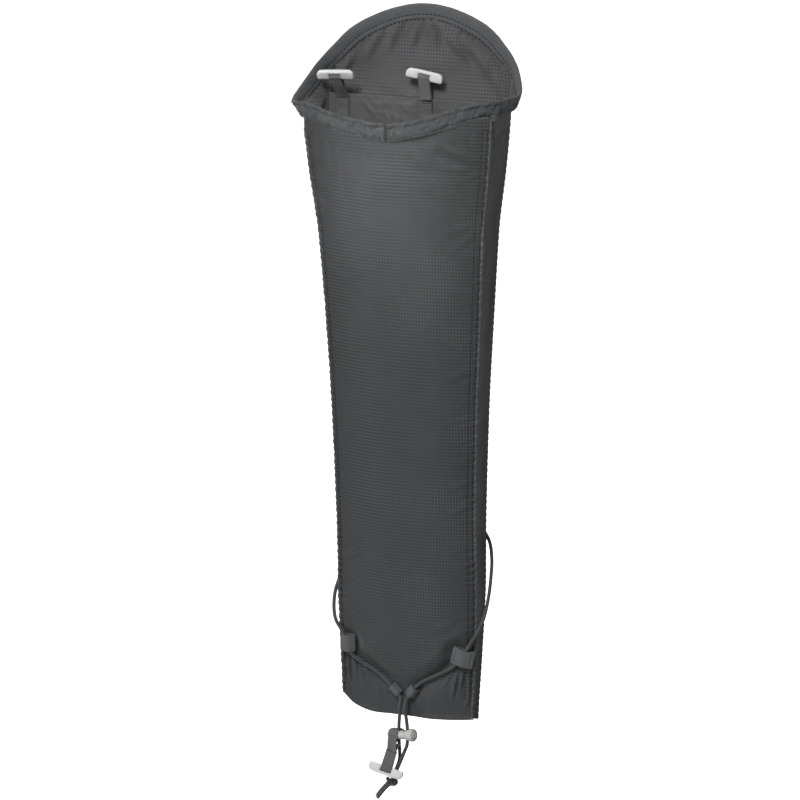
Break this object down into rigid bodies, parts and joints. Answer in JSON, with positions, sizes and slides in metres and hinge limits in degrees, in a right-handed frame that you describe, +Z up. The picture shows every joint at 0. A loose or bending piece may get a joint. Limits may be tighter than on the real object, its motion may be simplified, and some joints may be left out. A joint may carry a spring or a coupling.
{
  "type": "hooded gear sleeve",
  "caption": "Slim tapered ripstop gear sleeve with a stiff-rimmed hood behind its open mouth, hanging toggles, and a drawcord V with cord lock and pull toggle.",
  "frame": {"origin": "middle of the hanger panel's top edge, between the two toggles, where the sleeve hangs from", "axes": "+X to the right seen from the front, -Y out of the front panel, +Z up from the foot to the hood"},
  "size_m": [0.1916, 0.0796, 0.6878],
  "materials": {
    "ripstop": "satin coated ripstop nylon, charcoal",
    "lining": "smooth coated nylon, charcoal",
    "webbing": "matte woven nylon",
    "cord": "braided polyester over rubber",
    "toggle_plastic": "white moulded nylon",
    "lock_plastic": "translucent grey, slightly satin",
    "spring_steel": "wire",
    "stiffener": "clear plastic strip"
  },
  "bodies": {
    "sleeve": {"front_panel": "ripstop", "left_gusset": "ripstop", "right_gusset": "ripstop", "back_panel": "ripstop", "floor_panel": "ripstop", "hanger_panel": "lining", "hood_panel_fold": "ripstop", "front_hem_left": "ripstop", "front_hem_right": "ripstop", "left_front_seam_binding": "webbing", "right_front_seam_binding": "webbing", "left_toggle_strap": "webbing", "right_toggle_strap": "webbing", "left_side_keeper": "webbing", "right_side_keeper": "webbing", "left_centre_keeper": "webbing", "right_centre_keeper": "webbing", "back_keeper": "webbing", "shock_cord": "cord", "left_cord_tail": "cord", "right_cord_tail": "cord", "cord_knot": "cord", "left_cord_end": "cord", "right_cord_end": "cord"},
    "hood": {"hood_rim_band": "ripstop", "hood_rim_stiffener": "stiffener", "hood_panel_upper": "ripstop"},
    "left_loop": {"left_toggle_loop": "webbing"},
    "left_bar": {"left_toggle_bar": "toggle_plastic"},
    "right_loop": {"right_toggle_loop": "webbing"},
    "right_bar": {"right_toggle_bar": "toggle_plastic"},
    "cord_lock": {"cord_lock_body": "lock_plastic", "cord_lock_spring": "spring_steel", "pull_tab_wrap": "webbing"},
    "plunger": {"cord_lock_plunger": "lock_plastic"},
    "pull_loop": {"pull_tab_loop": "webbing"},
    "pull_bar": {"pull_toggle_bar": "toggle_plastic"}
  },
  "joints": [
    {"name": "hood_fold", "type": "hinge", "parent": "sleeve", "child": "hood", "pos_m": [0, -0.029, -0.0045], "axis": [-0.9985, 0, -0.0549], "range_deg": [0, 30], "stiffness_Nm_per_rad": 0.3, "springref_deg": -5.16, "deforming": ["hood_panel_fold"]},
    {"name": "left_loop_fold", "type": "hinge", "parent": "sleeve", "child": "left_loop", "pos_m": [-0.0636, -0.0027, -0.0028], "axis": [1, 0, 0], "range_deg": [0, 60], "stiffness_Nm_per_rad": 0.01, "springref_deg": -6.88},
    {"name": "left_bar_turn", "type": "hinge", "parent": "left_loop", "child": "left_bar", "pos_m": [-0.0664, -0.0125, 0.0162], "axis": [0.9978, 0, 0.0663], "range_deg": [0, 90]},
    {"name": "right_loop_fold", "type": "hinge", "parent": "sleeve", "child": "right_loop", "pos_m": [0.0078, -0.0027, -0.0006], "axis": [1, 0, 0], "range_deg": [0, 85], "stiffness_Nm_per_rad": 0.01, "springref_deg": -6.88},
    {"name": "right_bar_turn", "type": "hinge", "parent": "right_loop", "child": "right_bar", "pos_m": [0.0062, -0.003, 0.0178], "axis": [0.9877, 0, -0.1564], "range_deg": [0, 90]},
    {"name": "lock_slide", "type": "slide", "parent": "sleeve", "child": "cord_lock", "axis": [0, 0, 1], "range_m": [0, 0.016]},
    {"name": "plunger_press", "type": "slide", "parent": "cord_lock", "child": "plunger", "axis": [-0.9336, 0.3033, -0.1908], "range_m": [0, 0.002], "stiffness_N_per_m": 800, "springref_m": -0.0025, "deforming": ["cord_lock_spring"]},
    {"name": "pull_loop_swing", "type": "hinge", "parent": "cord_lock", "child": "pull_loop", "pos_m": [-0.0112, -0.036, -0.5638], "axis": [-0.9724, 0, 0.2334], "range_deg": [0, 80]},
    {"name": "pull_bar_turn", "type": "hinge", "parent": "pull_loop", "child": "pull_bar", "pos_m": [-0.0155, -0.0375, -0.5803], "axis": [-0.9724, 0, 0.2334], "range_deg": [0, 90]}
  ]
}
